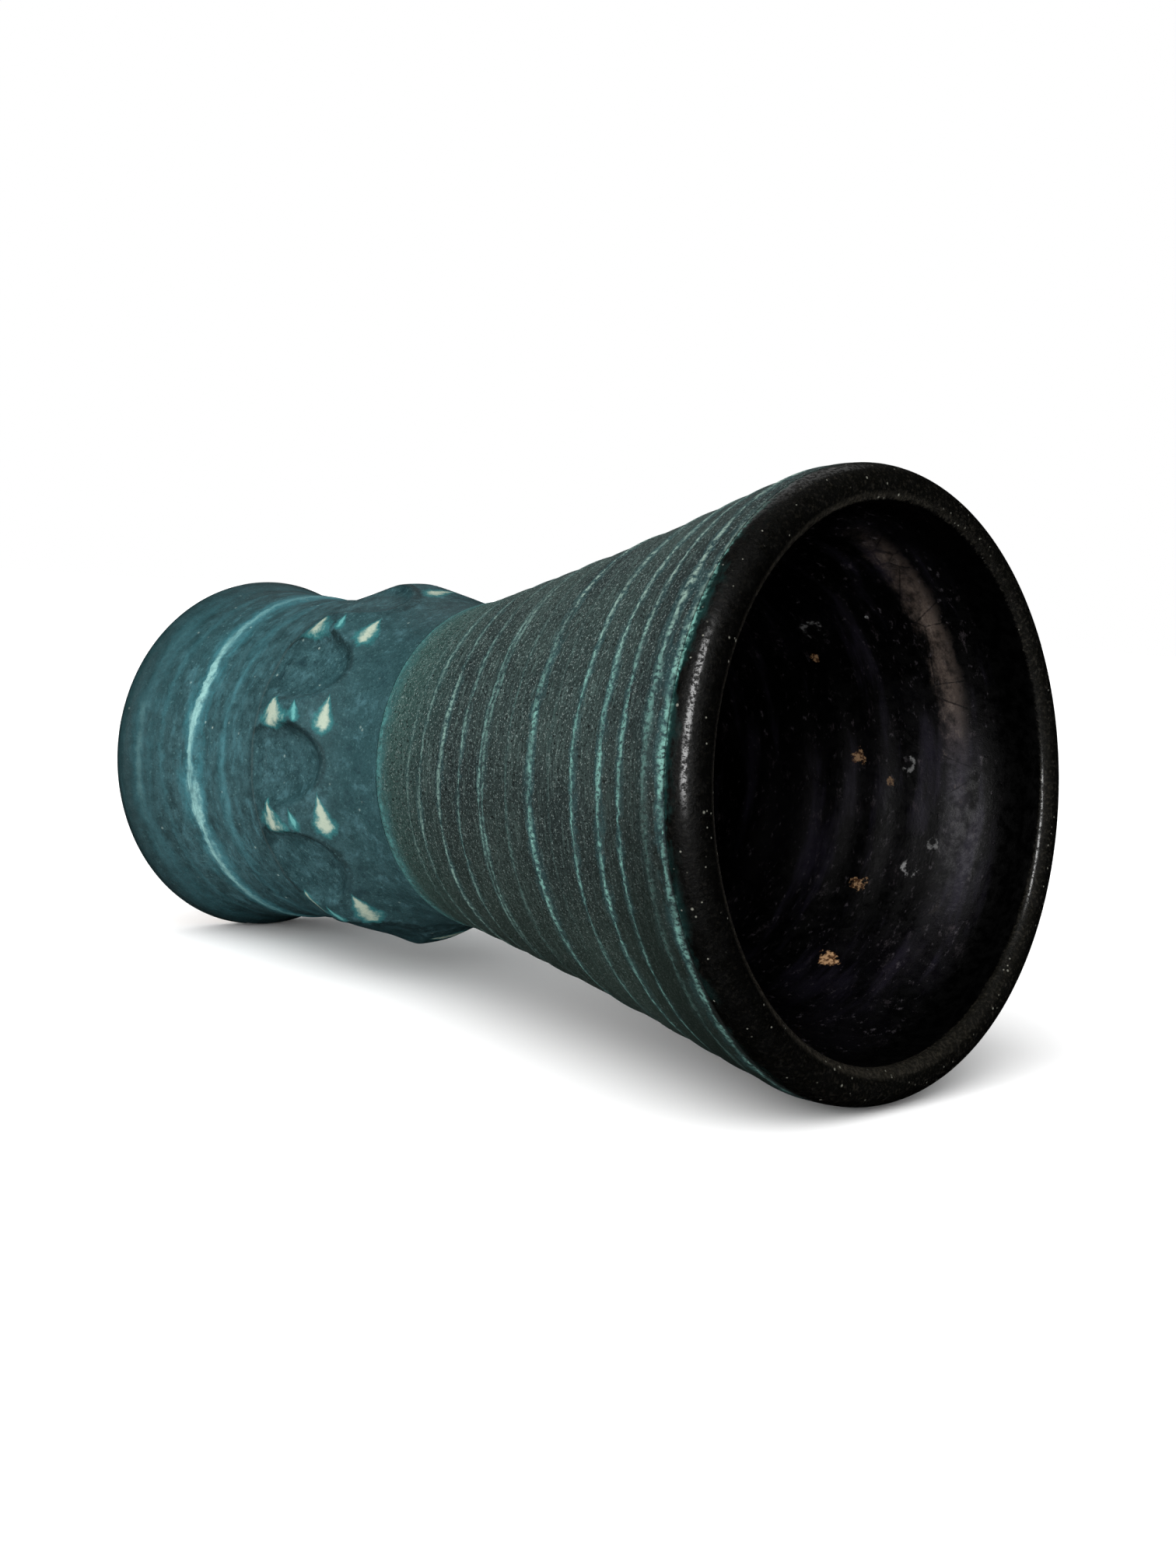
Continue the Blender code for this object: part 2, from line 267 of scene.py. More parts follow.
class Finish:
    """Procedural material of one fired surface."""

    def __init__(self, name):
        self.material = bpy.data.materials.new(name)
        self.material.use_nodes = True
        self.tree = self.material.node_tree
        self.tree.nodes.clear()
        self.place = self.add("ShaderNodeTexCoord", {}, {}, "Object")
        self.x = self.add("ShaderNodeSeparateXYZ", {}, {"Vector": self.place}, "X")
        self.y = self.add("ShaderNodeSeparateXYZ", {}, {"Vector": self.place}, "Y")
        self.z = self.add("ShaderNodeSeparateXYZ", {}, {"Vector": self.place}, "Z")
        self.radius = self.math("SQRT", self.x * self.x + self.y * self.y)

    def add(self, kind, settings, sockets, output=0):
        """Add a node: settings first, then values or links of its sockets; return one output."""
        node = self.tree.nodes.new(kind)
        for key, value in settings.items():
            setattr(node, key, value)
        for key, value in sockets.items():
            if isinstance(value, Value):
                self.tree.links.new(value.socket, node.inputs[key])
            else:
                node.inputs[key].default_value = value
        return Value(self, node.outputs[output])

    def math(self, operation, *values):
        return self.add("ShaderNodeMath", {"operation": operation}, dict(enumerate(values)))

    def ease(self, value, low, high, start=0.0, end=1.0):
        """Smooth step of a value between two bounds, which may fall as well as rise."""
        if low > high:
            low, high, start, end = high, low, end, start
        return self.add(
            "ShaderNodeMapRange", {"interpolation_type": "SMOOTHSTEP"},
            {"Value": value, "From Min": low, "From Max": high, "To Min": start, "To Max": end},
        )

    def mix(self, factor, first, second):
        return self.add("ShaderNodeMix", {"data_type": "RGBA"}, {0: factor, 6: first, 7: second}, 2)

    def most(self, first, second):
        return self.math("MAXIMUM", first, second)

    def grain(self, scale, detail=2.0, rough=0.5, stretch=(1.0, 1.0, 1.0), shift=(0.0, 0.0, 0.0)):
        """Cloudy noise on Object coordinates, its scale in features a metre."""
        place = self.add(
            "ShaderNodeMapping", {}, {"Vector": self.place, "Location": shift, "Scale": stretch},
        )
        return self.add(
            "ShaderNodeTexNoise", {},
            {"Vector": place, "Scale": scale, "Detail": detail, "Roughness": rough},
        )

    def specks(self, scale, size, share, shift=(0.0, 0.0, 0.0)):
        """Scattered round dots: scale in cells a metre, size and share of the cells that hold one."""
        place = self.add("ShaderNodeMapping", {}, {"Vector": self.place, "Location": shift})
        cells = {"Vector": place, "Scale": scale}
        far = self.add("ShaderNodeTexVoronoi", {}, cells, "Distance")
        draw = self.add("ShaderNodeTexVoronoi", {}, cells, "Color")
        pick = self.add("ShaderNodeSeparateColor", {}, {"Color": draw}, "Red")
        return self.ease(far, size, size * 0.4) * self.ease(pick, share, share * 0.9)

    def lines(self, lines, wander, swell, widen=1.0):
        """Broken rings at given heights: the strongest of them at each point."""
        height = self.z + wander
        strongest = None
        for ring, half_width, strength in lines:
            reach = swell * (half_width * widen)
            ring_mask = self.ease(abs(height - ring) / reach, 1.0, 0.1) * strength
            strongest = ring_mask if strongest is None else self.most(strongest, ring_mask)
        return strongest

    def finish(self, colour, roughness, height, depth, **constants):
        """Close the material: colour, roughness and a bump of this depth in metres."""
        bump = self.add(
            "ShaderNodeBump", {}, {"Strength": 1.0, "Distance": depth, "Height": height}, "Normal",
        )
        shader = self.add(
            "ShaderNodeBsdfPrincipled", {},
            {"Base Color": colour, "Roughness": roughness, "Normal": bump, **constants},
        )
        return self.close(shader)

    def close(self, shader):
        output = self.tree.nodes.new("ShaderNodeOutputMaterial")
        self.tree.links.new(shader.socket, output.inputs["Surface"])
        return self.material


def screen(red, green, blue):
    """Linear colour of 8-bit screen values."""
    return (*((v / 255) ** 2.2 for v in (red, green, blue)), 1.0)


def spread(low, high, count):
    """Evenly spaced values from low to high, both ends included."""
    return [low + (high - low) * i / (count - 1) for i in range(count)]


def smooth(t):
    """Ease from 0 to 1 with level ends."""
    t = min(max(t, 0.0), 1.0)
    return t * t * (3 - 2 * t)


def between(value, band):
    """Ease from 0 to 1 as a value goes through a band, which may fall as well as rise."""
    return smooth((value - band[0]) / (band[1] - band[0]))


def bulge(value, middle, half_width):
    """Rounded bump, 1 at its middle."""
    return exp(-((value - middle) / half_width) ** 2)


def arc(centre, half_width, half_height, start, end, count):
    """Points of an elliptical arc; its angles are degrees from the outward direction."""
    return [
        (centre[0] + half_width * cos(a), centre[1] + half_height * sin(a))
        for a in spread(radians(start), radians(end), count)
    ]


def foot_outside(z):
    t = (z - FOOT_SWELL_HEIGHT) / (WAIST_HEIGHT - FOOT_SWELL_HEIGHT)
    return WAIST_RADIUS + (FOOT_RADIUS - WAIST_RADIUS) * (1 - t) ** FOOT_FLARE_POWER


def trumpet_outside(z):
    """Outside of the trumpet: a flare that eases to upright at the rim's widest level."""
    run = RIM_LEVEL - BELT_TOP
    turn = 1 - RIM_EASE / run
    turn_slope = TRUMPET_FLARE_POWER * turn ** (TRUMPET_FLARE_POWER - 1) / run
    flare = (MOUTH_RADIUS - NECK_RADIUS) / (turn ** TRUMPET_FLARE_POWER + turn_slope * RIM_EASE / 2)
    u = (z - BELT_TOP) / run
    if u <= turn:
        return NECK_RADIUS + flare * max(u, 0.0) ** TRUMPET_FLARE_POWER
    t = (u - turn) * run / RIM_EASE
    return NECK_RADIUS + flare * (turn ** TRUMPET_FLARE_POWER + turn_slope * RIM_EASE * (t - t * t / 2))


def inside(z):
    if z <= BELT_TOP:
        ease = smooth((z - WAIST_HEIGHT + THROAT_EASE) / THROAT_EASE)
        return WELL_RADIUS + (THROAT_RADIUS - WELL_RADIUS) * ease
    ease = smooth((z - BELT_TOP) / THROAT_EASE)
    wall = TRUMPET_WALL + (RIM_THICKNESS - TRUMPET_WALL) * (z - BELT_TOP) / (RIM_LEVEL - BELT_TOP)
    return THROAT_RADIUS + (trumpet_outside(z) - wall - THROAT_RADIUS) * ease


def belt_outside(z):
    if z < BELT_CREST_Z:
        skirt = foot_outside(min(z, WAIST_HEIGHT)) + SKIRT_STEP
        return skirt + (RIDGE_RADIUS - skirt) * between(z, (SKIRT_EDGE - SKIRT_LEAD, BELT_CREST_Z))
    t = (z - BELT_CREST_Z) / (BELT_TOP - CLEARANCE - BELT_CREST_Z)
    return NECK_RADIUS + (RIDGE_RADIUS - NECK_RADIUS) * cos(min(t, 1.0) * pi / 2) ** BELT_FALL_POWER


def well_path(depth, count):
    corner = (WELL_RADIUS - FLOOR_FILLET, FLOOR_TOP + FLOOR_FILLET)
    floor = [(r, FLOOR_TOP - depth) for r in spread(0.0, corner[0], 8)[:-1]]
    fillet = arc(corner, FLOOR_FILLET + depth, FLOOR_FILLET + depth, -90, 0, 12)
    return floor + fillet + [(inside(z) + depth, z) for z in spread(corner[1], BELT_TOP, count)[1:]]


def trumpet_path(depth, count):
    return [(inside(z) + depth, z) for z in spread(BELT_TOP, RIM_LEVEL, count)[1:]]


def rim_path(depth, count):
    crest = MOUTH_RADIUS - RIM_SHOULDER
    inner_width = RIM_THICKNESS - RIM_SHOULDER
    inner = arc((crest, RIM_INNER_EDGE), inner_width - depth, RIM_INNER_DROP - depth, 180, 90, count)
    outer = arc((crest, RIM_LEVEL), RIM_SHOULDER - depth, RIM_CROWN - depth, 90, 0, count)
    return inner + outer[1:]


def hand_drift(turn, z, size, per_metre):
    """Slow unevenness round and along the vase, the same for every piece, so that they stay together."""
    return size * noise.noise(Vector((cos(turn), sin(turn), z * per_metre)))


def ring_climb(turn, z):
    """How far a ring of the trumpet stands towards the foot from its height at turn 0."""
    share = 1 - (1 - CLIMB_LEAST) * between(z, CLIMB_EASES) + CLIMB_REGAINED * between(z, CLIMB_RETURNS)
    share *= between(z, CLIMB_STARTS) * (1 - between(z, RIM_RINGS))
    return RING_TILT * share * (max(sin(turn) + RING_LEVEL_SIDE, 0.0) ** 2 - RING_LEVEL_SIDE ** 2)


def ridges(z, lines, height, half_width):
    return sum(height * strength * bulge(z, ring, half_width) for ring, _, strength in lines)


def out_of_round(turn, z):
    flat = FOOT_FLAT * max(sin(turn), 0.0) ** 2 * between(z, FOOT_FLAT_ENDS)
    full = FOOT_FULL * max(-sin(turn), 0.0) ** 2 * bulge(z, *FOOT_FULL_AT)
    return full - flat


def hollow_give(turn, z):
    """How far the hollow's face stands back: throwing rings, and a hollow below the rim's inner edge."""
    under_rim = between(z, UNDERCUT_STARTS) * between(z, UNDERCUT_ENDS)
    rings = between(z, LINING_RINGS_END) * between(z, LINING_RINGS_START)
    wave = sin(tau * (z + hand_drift(turn, z, *LINING_DRIFT)) / LINING_RING_PITCH)
    return UNDERCUT_DEPTH * under_rim + LINING_RING_HEIGHT * rings * wave


def thrown(outline, wedges, steps):
    """Bmesh made by turning an outline of (radius, height) points round +Z, one wedge at a time."""
    clay = bmesh.new()
    corners = [clay.verts.new((radius, 0.0, height)) for radius, height in outline]
    sides = [clay.edges.new(pair) for pair in zip(corners, corners[1:])]
    if outline[0][0] > 0:
        sides.append(clay.edges.new((corners[-1], corners[0])))
    about = {"cent": (0, 0, 0), "axis": (0, 0, 1)}
    bmesh.ops.spin(
        clay, geom=corners + sides, angle=tau / wedges, steps=steps, use_duplicate=False, **about,
    )
    wedge = clay.verts[:] + clay.edges[:] + clay.faces[:]
    rest = wedges - 1
    bmesh.ops.spin(
        clay, geom=wedge, angle=tau * rest / wedges, steps=rest, use_duplicate=True, **about,
    )
    bmesh.ops.remove_doubles(clay, verts=clay.verts, dist=MERGE)
    bmesh.ops.recalc_face_normals(clay, faces=clay.faces)
    return clay


def push(clay, shape):
    """Move each vertex in or out from the axis; shape gives the new radius of (turn, radius, height)."""
    for vert in clay.verts:
        x, y, z = vert.co
        radius = hypot(x, y)
        if radius > SKIN:
            grow = shape(atan2(y, x), radius, z) / radius
            vert.co.x = x * grow
            vert.co.y = y * grow


def lean(clay):
    """Tip the mouth slightly to one side."""
    for vert in clay.verts:
        x, y, z = vert.co
        if z > LEAN_START:
            vert.co.z += RIM_LEAN * between(z, (LEAN_START, RIM_LEVEL)) * y / hypot(x, y)


def fired(name, clay, material, node):
    """Turn worked clay into a piece that stands for a CAD node."""
    mesh = bpy.data.meshes.new(name)
    clay.to_mesh(mesh)
    clay.free()
    mesh.shade_smooth()
    mesh.set_sharp_from_angle(angle=SHARP_ANGLE)
    mesh.materials.append(material)
    piece = bpy.data.objects.new(name, mesh)
    bpy.context.scene.collection.objects.link(piece)
    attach(piece, "root")
    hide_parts(node)


def throw_foot(material):
    ring_outer = FOOT_RADIUS - FOOT_EDGE
    ring_inner = ring_outer - FOOT_RING_WIDTH
    underside = [(r, FOOT_RING_DEPTH) for r in spread(0.0, ring_inner - FOOT_RING_SLOPE, 14)]
    slope = [
        (ring_inner - FOOT_RING_SLOPE * (1 - t), FOOT_RING_DEPTH * (1 - smooth(t)))
        for t in spread(0, 1, 6)[1:]
    ]
    ring = [(r, 0.0) for r in spread(ring_inner, ring_outer, 5)[1:-1]]
    edge = arc((ring_outer, FOOT_SWELL_HEIGHT), FOOT_EDGE, FOOT_SWELL_HEIGHT, -90, 0, 14)
    flare = [(foot_outside(z), z) for z in spread(FOOT_SWELL_HEIGHT, WAIST_HEIGHT, 100)[1:]]
    top = [(SEAT_RADIUS, WAIST_HEIGHT), (SEAT_RADIUS, FOOT_TOP), (THROAT_RADIUS + COAT, FOOT_TOP)]
    well = [p for p in well_path(COAT, 24) if p[1] < FOOT_TOP - SKIN]
    clay = thrown(underside + slope + ring + edge + flare + top + well[::-1], WEDGES, WEDGE_STEPS)

    def shape(turn, radius, z):
        if radius < SEAT_RADIUS + SKIN or z < FOOT_SWELL_HEIGHT * FOOT_PLAIN or z > WAIST_HEIGHT - HAIR:
            return radius
        uneven = hand_drift(turn, z, *WALL_WOBBLE)
        return radius + uneven + ridges(z, FOOT_LINES, *FOOT_RIDGE) + out_of_round(turn, z)

    push(clay, shape)
    fired("foot", clay, material, "foot_section")


def throw_trumpet(material):
    step = LAP_END - CLEARANCE
    bottom = [
        (THROAT_RADIUS + COAT, TRUMPET_BOTTOM), (SEAT_RADIUS, TRUMPET_BOTTOM), (SEAT_RADIUS, BELT_TOP),
    ]
    wall = [(trumpet_outside(z), z) for z in spread(BELT_TOP, step, 190)]
    core = [(trumpet_outside(step) - COAT, step)] + rim_path(COAT, 8)[::-1]
    clay = thrown(bottom + wall + core + trumpet_path(COAT, 60)[::-1], WEDGES, WEDGE_STEPS)

    def shape(turn, radius, z):
        if radius < inside(z) + COAT + HAIR:
            return radius + hollow_give(turn, z)
        if radius < trumpet_outside(z) - NEAR or z < BELT_TOP - HAIR:
            return radius
        uneven = hand_drift(turn, z, *WALL_WOBBLE)
        climbed = z + hand_drift(turn, z, *RIDGE_DRIFT) + ring_climb(turn, z)
        fade = smooth((RIM_LEVEL - z) / RIDGES_FADE)
        return radius + uneven + fade * ridges(climbed, TRUMPET_LINES, *TRUMPET_RIDGE)

    push(clay, shape)
    lean(clay)
    fired("trumpet", clay, material, "trumpet_section")


def hand_set(turn):
    """Turn on the even ring of dimples that stands for a turn on the hand-pressed ring."""
    return turn + HAND_DRIFT * (sin(2 * turn + HAND_PHASE) - HAND_BIAS)


def skirt_back(z):
    """Radius of the skirt's hidden face, which lies on the foot."""
    return foot_outside(min(z, WAIST_HEIGHT)) + SKIRT_STEP / 2


def dimple_floor(turn, radius, z):
    """Radius of the pressed floor at this turn and height, of the nearest thumb dimple."""
    even = hand_set(turn)
    i = round(even / DIMPLE_PITCH)
    off = even - i * DIMPLE_PITCH
    press = 1 + PRESS_UNEVEN * sin(PRESS_STEP * i)
    along = (z - DIMPLE_MIDDLE) / DIMPLE_REACH / press
    across = radius * sin(off) / (DIMPLE_WIDTH / 2) / press
    rho = min(hypot(along, across), DIMPLE_LIMIT)
    plane = DIMPLE_FLOOR_RADIUS - (z - SKIRT_EDGE) * tan(DIMPLE_FLOOR_TILT) + PRESSED_LESS.get(i, 0.0)
    return (plane + DIMPLE_WALL_HEIGHT * rho ** DIMPLE_WALL_POWER) / cos(off)


def press_belt(material):
    low = WAIST_HEIGHT + CLEARANCE
    high = BELT_TOP - CLEARANCE
    seat = SEAT_RADIUS + CLEARANCE
    rise = [(belt_outside(z), z) for z in spread(SKIRT_EDGE, BELT_CREST_Z, 42)]
    fall = [(belt_outside(z), z) for z in spread(BELT_CREST_Z, high, 82)[1:]]
    back = [(seat, high), (seat, low)] + [(skirt_back(z), z) for z in spread(low, SKIRT_EDGE, 8)]
    clay = thrown(rise + fall + back, BELT_WEDGES, BELT_WEDGE_STEPS)

    def shape(turn, radius, z):
        if radius < seat + NEAR:
            return radius
        floor = dimple_floor(turn, radius, z)
        fade = max(DIMPLE_BLEND - abs(radius - floor), 0.0) / DIMPLE_BLEND
        pressed = min(radius, floor) - fade * fade * DIMPLE_BLEND / 4
        least = skirt_back(z) if z < low + HAIR else seat + BELT_LEAST
        full = BELT_FULL * max(sin(turn), 0.0) ** 2 * bulge(z, *BELT_FULL_AT)
        return max(pressed, least) + hand_drift(turn, z, *WALL_WOBBLE) + full

    push(clay, shape)
    fired("belt", clay, material, "collar_belt")


def pour_lining(material):
    def coat(depth, well_count, wall_count, rim_count):
        lap = [(trumpet_outside(z) - depth, z) for z in spread(RIM_LEVEL, LAP_END, 4)[1:]]
        hollow = well_path(depth, well_count) + trumpet_path(depth, wall_count)
        return hollow + rim_path(depth, rim_count) + lap

    face = coat(0.0, 60, 150, 16)
    hidden_back = coat(GLAZE, 18, 32, 8)
    clay = thrown(face + hidden_back[::-1], WEDGES, WEDGE_STEPS)

    def shape(turn, radius, z):
        if radius < inside(z) + GLAZE + HAIR and BELT_TOP < z < RIM_INNER_EDGE:
            return radius + hollow_give(turn, z)
        return radius + hand_drift(turn, z, *WALL_WOBBLE) * between(z, LINING_WOBBLE_STARTS)

    push(clay, shape)
    lean(clay)
    fired("lining", clay, material, "lining_glaze")


# Colours of the matt black glaze, of its painted light and shade, and of its aqua rings
BLACK, SOFT_BLACK = screen(25, 34, 34), screen(34, 45, 43)
THIN_GREEN = screen(36, 62, 58)
STREAK_GREY = screen(66, 84, 80)
PIT_BLACK = screen(8, 12, 12)
GRAIN_GREY = screen(96, 112, 110)
SPECK_GREY = screen(118, 130, 126)
# Painted shade, tinted green, for the +Y side and for its part near the rim
SHADED_GREEN, SHADED_RIM_GREEN = screen(29, 43, 35), screen(14, 25, 20)
BURNT_BLACK = screen(17, 19, 18)
AQUA = screen(97, 140, 131)
WHITISH_AQUA = screen(118, 138, 128)
AQUA_HALO = screen(28, 68, 72)
NECK_AQUA, NECK_SMEAR = screen(62, 112, 110), screen(46, 90, 90)


def aqua_rings(glaze, rings):
    """Halo and broken line of the aqua rings; the same noise on every piece, so that they run on across."""
    near_rim = glaze.ease(glaze.z, *RIM_RINGS)
    climb = glaze.most(glaze.y / glaze.radius + RING_LEVEL_SIDE, 0.0)
    climb = (climb * climb - RING_LEVEL_SIDE ** 2) * RING_TILT
    eased = glaze.ease(glaze.z, *CLIMB_EASES, 1.0, CLIMB_LEAST)
    climb = climb * (eased + glaze.ease(glaze.z, *CLIMB_RETURNS, 0.0, CLIMB_REGAINED))
    wander = (glaze.grain(28, 2, stretch=(1, 1, 2.2)) - 0.5) * (1.0 - near_rim * 0.75) * 0.0034
    ragged = (glaze.grain(620, 4, 0.72) - 0.5) * 0.0022
    swell = glaze.ease(glaze.grain(110, 4, 0.65, (1, 1, 2.5), (5, 2, 7)), 0.30, 0.68, 0.25, 1.45)
    fade = glaze.ease(glaze.grain(60, 3, 0.6, (1, 1, 6), (8, 3, 1)), 0.34, 0.58, 0.48, 1.0)
    crumble = glaze.ease(glaze.grain(1300, 3, 0.6, (1, 1, 0.7)), 0.36, 0.58)
    blot = glaze.ease(glaze.grain(190, 3, 0.6, (1, 1, 1.5), (3, 8, 5)), 0.36, 0.54, 0.40, 1.0)
    drift = wander + ragged + climb * glaze.ease(glaze.z, *CLIMB_STARTS) * (1.0 - near_rim)

    # The two rings at the rim: the lower one shows on the -Y side, the upper one on the rest
    last = glaze.ease(glaze.z, 0.1916, 0.1926)
    lower = glaze.ease(glaze.y, 0.005, -0.034, 0.22, 1.0)
    upper = glaze.ease(glaze.y, -0.054, -0.036, 0.15, 1.0) * glaze.ease(glaze.y, 0.004, 0.040, 1.0, 0.60)
    share = lower + (upper - lower) * last
    fade = fade * (1.0 + (share - 1.0) * near_rim)

    # The other rings are fainter on the +Y side
    fade = fade * (1.0 - (1.0 - near_rim) * glaze.ease(glaze.y, 0.012, 0.036) * 0.45)
    halo = glaze.lines(rings, drift, swell, 2.6) * fade
    return halo, glaze.lines(rings, drift, swell) * fade * crumble * blot


def matt_black_glaze():
    """Matt black-green glaze, finely pitted, with broken aqua rings."""
    glaze = Finish("matt_black_trumpet_glaze")
    broad = glaze.grain(38, 4)
    fine = glaze.grain(2300, 3, 0.6)
    pits = glaze.grain(1500, 4, 0.7, shift=(3, 1, 2))
    streak = glaze.grain(1000, 4, 0.65, (0.16, 0.16, 1.6))
    body = glaze.mix(glaze.ease(broad, 0.35, 0.68), BLACK, SOFT_BLACK)
    thin = glaze.ease(glaze.z + (broad - 0.5) * 0.02, 0.122, 0.092)
    body = glaze.mix(thin * 0.65, body, THIN_GREEN)
    body = glaze.mix(glaze.ease(streak, 0.48, 0.70) * 0.40, body, STREAK_GREY)
    body = glaze.mix(glaze.ease(pits, 0.48, 0.34) * 0.90, body, PIT_BLACK)
    body = glaze.mix(glaze.ease(fine, 0.56, 0.70) * 0.50, body, GRAIN_GREY)
    pale = glaze.most(glaze.specks(1700, 0.36, 0.42), glaze.specks(900, 0.24, 0.07, (2, 7, 4)))
    body = glaze.mix(pale * 0.42, body, SPECK_GREY)

    # Painted light and shade: lighter on the -Y side, which is up as the vase lies, darker and greener on
    # the +Y side and towards the rim
    painted_light_side = glaze.ease(glaze.y + (broad - 0.5) * 0.02, 0.008, -0.018, 1.0, 1.34)
    painted_light_side = painted_light_side * glaze.ease(glaze.z, 0.165, 0.190, 1.0, 0.80)
    body = glaze.add("ShaderNodeVectorMath", {"operation": "SCALE"}, {0: body, "Scale": painted_light_side})
    body = glaze.mix(glaze.ease(glaze.y, -0.004, 0.042) * 0.48, body, SHADED_GREEN)
    rim_shade = glaze.ease(glaze.z, 0.166, 0.188) * glaze.ease(glaze.y, -0.014, 0.036)
    body = glaze.mix(rim_shade * 0.72, body, SHADED_RIM_GREEN)

    # Rings, smeared at the neck, and the burnt edge below the lip
    halo, line = aqua_rings(glaze, TRUMPET_LINES)
    body = glaze.mix(halo * 0.50, body, AQUA_HALO)
    smear = glaze.ease(glaze.grain(240, 5, 0.7, (1, 1, 1.6), (6, 6, 2)), 0.40, 0.62, 0.25, 1.0)
    collar = glaze.ease(glaze.z + (broad - 0.5) * 0.002, 0.0985, 0.0925) * smear
    body = glaze.mix(collar * 0.50, body, NECK_SMEAR)
    # The rings are whiter low on the trumpet, and paler on the -Y side as a painted sheen
    whitish_and_sheen = glaze.most(glaze.ease(glaze.z, 0.160, 0.100) * 0.8, glaze.ease(glaze.y, -0.014, -0.038))
    tint = glaze.mix(whitish_and_sheen, AQUA, WHITISH_AQUA)
    neck = glaze.ease(glaze.z, 0.0990, 0.0965)
    tint = glaze.mix(neck, tint, NECK_AQUA)
    body = glaze.mix(line * (1.0 - neck * (1.0 - smear) * 0.5), body, tint)
    burnt = glaze.ease(glaze.z + (fine - 0.5) * 0.002, 0.1938, 0.1955)
    body = glaze.mix(burnt * (1.0 - line) * 0.75, body, BURNT_BLACK)
    height = fine * 0.4 + pits * 0.4 + pale * 0.3 + line * 0.6
    rough = glaze.ease(pits, 0.3, 0.7, 0.60, 0.78)
    matt = {"Specular IOR Level": 0.30, "Diffuse Roughness": 1.0}
    return glaze.finish(body, rough, height, 0.00025, **matt)


# Colours of the teal glaze, of the foot's lines, of its painted shade and of the bare foot ring
TEAL, SOFT_TEAL = screen(33, 55, 58), screen(47, 74, 78)
TEAL_CLOUD = screen(32, 62, 66)
TEAL_PIT = screen(18, 33, 36)
TEAL_PALE = screen(92, 130, 132)
TEAL_DOT = screen(134, 150, 144)
MOTTLE_LIGHT, MOTTLE_DARK = screen(60, 98, 105), screen(26, 44, 47)
FOOT_HALO = screen(44, 98, 106)
FAINT_LINE, BRIGHT_LINE = screen(66, 114, 122), screen(121, 160, 157)
FOOT_SHADE = screen(22, 40, 42)
# Painted shade along the crease at the belt
FOOT_CREASE_SHADE = screen(22, 33, 35)
CLAY, PALE_CLAY = screen(120, 92, 70), screen(178, 146, 114)


def teal_body(glaze):
    """Mottled teal glaze with fine dark specks, shared by the foot and the belt."""
    cloud = glaze.grain(300, 6, 0.62)
    broad = glaze.grain(30, 2)
    fine = glaze.grain(1900, 3, 0.6)
    pale = glaze.grain(1000, 4, 0.65, shift=(4, 4, 1))
    body = glaze.mix(glaze.ease(cloud, 0.32, 0.68), TEAL, SOFT_TEAL)
    body = glaze.mix(glaze.ease(broad, 0.40, 0.70) * 0.4, body, TEAL_CLOUD)
    body = glaze.mix(glaze.ease(fine, 0.45, 0.32) * 0.50, body, TEAL_PIT)
    body = glaze.mix(glaze.ease(pale, 0.57, 0.75) * 0.40, body, TEAL_PALE)
    dots = glaze.specks(420, 0.18, 0.12, (1, 5, 3))
    body = glaze.mix(dots * 0.6, body, TEAL_DOT)
    return body, fine


def teal_glaze():
    glaze = Finish("teal_foot_glaze")
    body, fine = teal_body(glaze)
    mottle = glaze.grain(240, 5, 0.72, (0.55, 0.55, 1.4), (4, 7, 2))
    body = glaze.mix(glaze.ease(mottle, 0.50, 0.68) * 0.45, body, MOTTLE_LIGHT)
    body = glaze.mix(glaze.ease(mottle, 0.47, 0.32) * 0.45, body, MOTTLE_DARK)

    # Lines on the throwing ridges, fainter towards both sides
    wander = (glaze.grain(25, 2, stretch=(1, 1, 2)) - 0.5) * 0.0028
    drift = wander + (glaze.grain(330, 6, 0.75) - 0.5) * 0.0042
    swell = glaze.ease(glaze.grain(80, 3, 0.6, (1, 1, 2.5), (1, 6, 3)), 0.28, 0.66, 0.45, 1.25)
    fade = glaze.ease(glaze.grain(45, 3, 0.6, (1, 1, 6), (3, 3, 6)), 0.32, 0.58, 0.40, 1.0)
    halo = glaze.lines(FOOT_LINES, drift, swell, 1.9) * fade
    line = glaze.lines(FOOT_LINES, drift, swell) * fade
    line = line * glaze.ease(abs(glaze.y), 0.016, 0.042, 1.0, 0.55)
    crumble = glaze.ease(glaze.grain(520, 5, 0.72), 0.34, 0.60, 0.55, 1.0)
    body = glaze.mix(halo * crumble * 0.70, body, FOOT_HALO)
    tint = glaze.mix(glaze.ease(line, 0.24, 0.95), FAINT_LINE, BRIGHT_LINE)
    body = glaze.mix(line * crumble * glaze.ease(line, 0.30, 0.80, 0.70, 0.92), body, tint)

    # Painted shade at the foot's edge and along the crease at the belt, and the bare ring it stands on
    shade = glaze.ease(glaze.z, 0.0240, 0.0060) * 0.60 + glaze.ease(glaze.z, 0.0090, 0.0005) * 0.36
    body = glaze.mix(shade, body, FOOT_SHADE)
    crease_shade = glaze.ease(abs(glaze.z - SKIRT_EDGE + 0.0002), 0.0018, 0.0001)
    body = glaze.mix(crease_shade * 0.34, body, FOOT_CREASE_SHADE)
    clay = glaze.mix(glaze.grain(600, 4), CLAY, PALE_CLAY)
    bare = glaze.ease(glaze.z + (glaze.grain(260, 3) - 0.5) * 0.0012, 0.0008, 0.0004)
    body = glaze.mix(bare, body, clay)
    rough = glaze.ease(fine, 0.3, 0.7, 0.46, 0.62)
    return glaze.finish(body, rough, fine * 0.6 + line * 0.5, 0.00020, **{"Specular IOR Level": 0.22})
